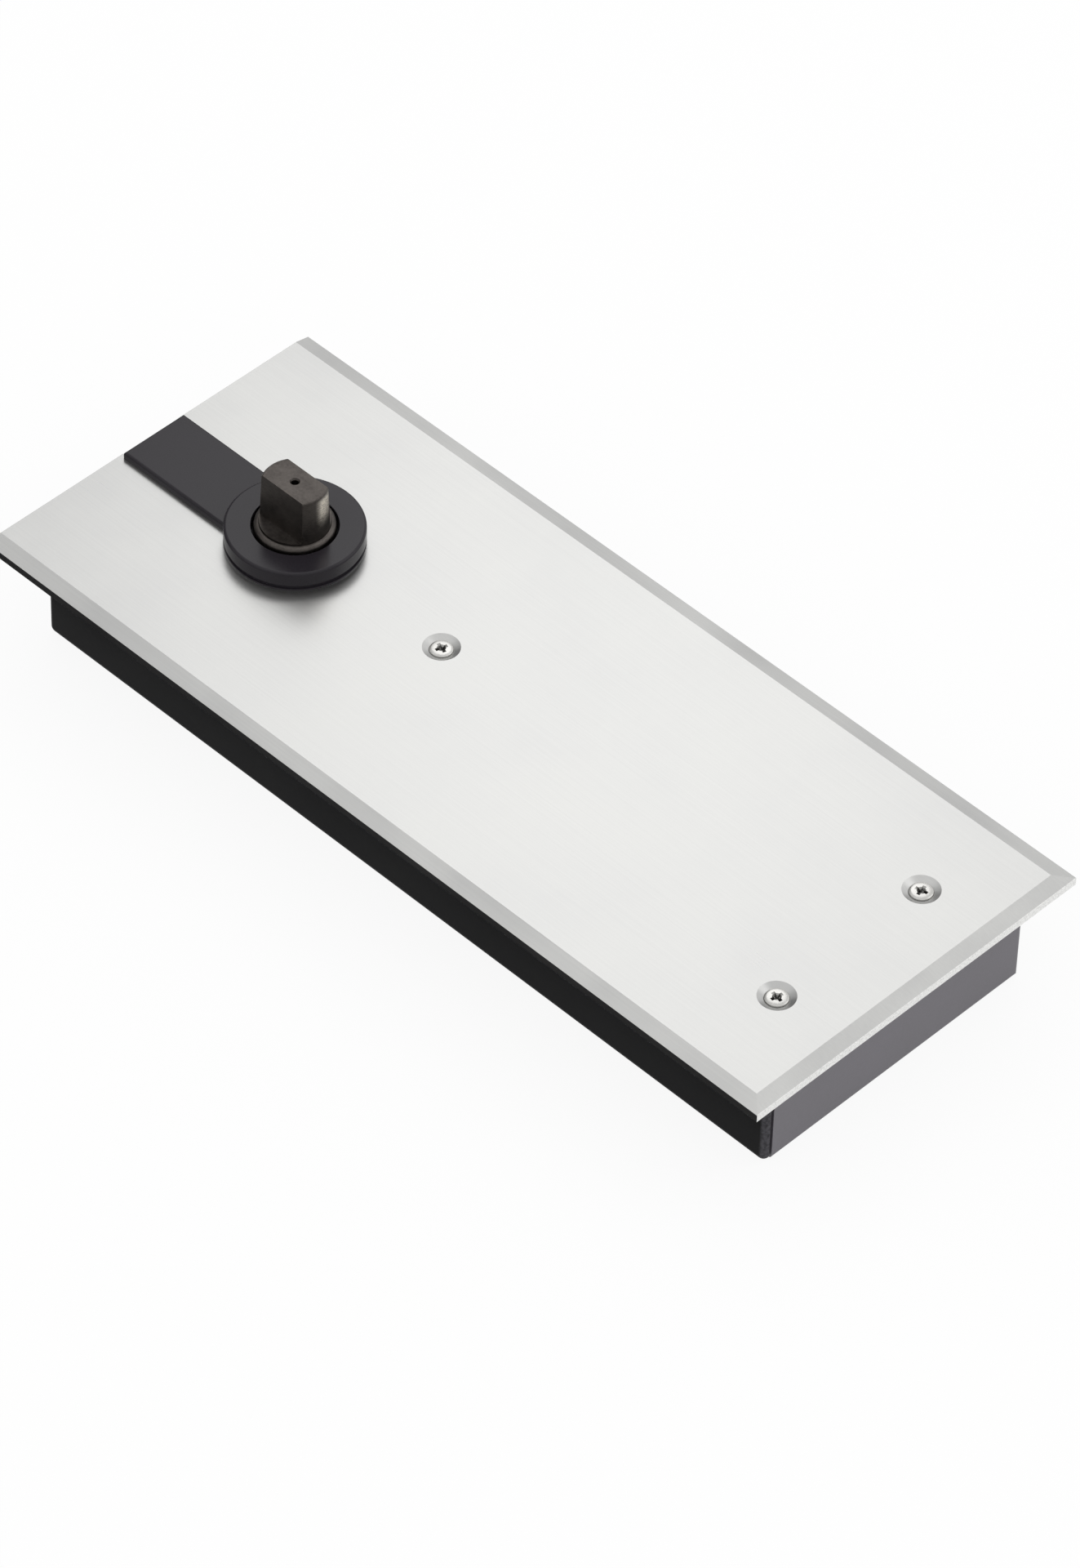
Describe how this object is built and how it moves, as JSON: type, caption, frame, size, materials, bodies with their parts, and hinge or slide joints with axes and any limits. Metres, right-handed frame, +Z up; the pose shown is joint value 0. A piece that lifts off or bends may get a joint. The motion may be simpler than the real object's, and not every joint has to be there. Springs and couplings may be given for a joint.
{
  "type": "floor spring door closer",
  "caption": "Floor spring: bevelled brushed cover plate with keyhole slot over a black cement box, flat-sided spindle turned by a sprung heart cam with oil damper.",
  "frame": {"origin": "spindle axis at the underside of the cover plate, which is the finished floor level", "axes": "+X along the plate from the spindle towards the plain bevelled end, +Y across it, +Z up along the spindle"},
  "size_m": [0.385, 0.16, 0.0753],
  "materials": {
    "plate_stainless": "brushed lengthwise",
    "screw_stainless": "turned",
    "black_cap": "satin black",
    "box_paint": "semi-gloss black coat",
    "end_paint": "semi-gloss black coat",
    "spindle_steel": "burnished dark brown",
    "housing_iron": "as cast, grey primer",
    "zinc_steel": "zinc plated",
    "ground_steel": "hardened and ground",
    "spring_steel": "oiled",
    "bearing_bronze": "turned",
    "valve_brass": "turned",
    "washer_copper": "soft copper",
    "seal_rubber": "matt",
    "gasket": "matt"
  },
  "bodies": {
    "housing": {"cement_box": "box_paint", "box_end_left": "end_paint", "box_end_right": "end_paint", "cover_bracket": "zinc_steel", "box_studs": "zinc_steel", "clamp_washers": "zinc_steel", "clamp_nuts": "zinc_steel", "levelling_screws": "zinc_steel", "cover_plate": "plate_stainless", "slot_filler": "black_cap", "cover_screws": "screw_stainless", "closer_housing": "housing_iron", "housing_lid": "housing_iron", "lid_gasket": "gasket", "lid_screws": "zinc_steel", "upper_bearing": "bearing_bronze", "lower_bearing": "bearing_bronze", "spindle_seal": "seal_rubber", "near_spring": "spring_steel", "far_spring": "spring_steel", "spring_plugs": "zinc_steel", "piston_plug": "zinc_steel", "plug_washers": "washer_copper"},
    "spindle": {"spindle": "spindle_steel", "spindle_collar": "spindle_steel", "heart_cam": "ground_steel", "cam_key": "ground_steel"},
    "carriage": {"upper_push_plate": "ground_steel", "lower_push_plate": "ground_steel", "roller_pins": "ground_steel", "crosshead": "ground_steel", "crosshead_rivets": "ground_steel", "piston_rod": "ground_steel", "piston": "ground_steel", "piston_ring": "ground_steel", "check_ball": "ground_steel", "ball_retainer": "ground_steel", "push_rods": "ground_steel", "spring_followers": "ground_steel"},
    "front_roller": {"front_roller": "ground_steel"},
    "rear_roller": {"rear_roller": "ground_steel"},
    "closing_valve": {"closing_valve": "valve_brass"},
    "latching_valve": {"latching_valve": "valve_brass"}
  },
  "joints": [
    {"name": "spindle_turn", "type": "hinge", "parent": "housing", "child": "spindle", "pos_m": [0, 0, 0], "axis": [0, 0, 1], "range_deg": [0, 130], "stiffness_Nm_per_rad": 6, "springref_deg": -114.59},
    {"name": "carriage_slide", "type": "slide", "parent": "housing", "child": "carriage", "axis": [1, 0, 0], "range_m": [0, 0.01089], "deforming": ["near_spring", "far_spring"]},
    {"name": "front_roller_spin", "type": "hinge", "parent": "carriage", "child": "front_roller", "pos_m": [0.022, 0, -0.021], "axis": [0, 0, 1], "continuous": true},
    {"name": "rear_roller_spin", "type": "hinge", "parent": "carriage", "child": "rear_roller", "pos_m": [-0.03708, 0, -0.021], "axis": [0, 0, 1], "continuous": true},
    {"name": "closing_valve_turn", "type": "hinge", "parent": "housing", "child": "closing_valve", "pos_m": [0.2, -0.0166, -0.012], "axis": [0, 0, 1], "range_deg": [0, 360]},
    {"name": "latching_valve_turn", "type": "hinge", "parent": "housing", "child": "latching_valve", "pos_m": [0.2, 0.0166, -0.012], "axis": [0, 0, 1], "range_deg": [0, 360]}
  ],
  "couplings": [
    {"joint": "carriage_slide", "follows": "spindle_turn", "m_per_rad": 0.0048001}
  ]
}
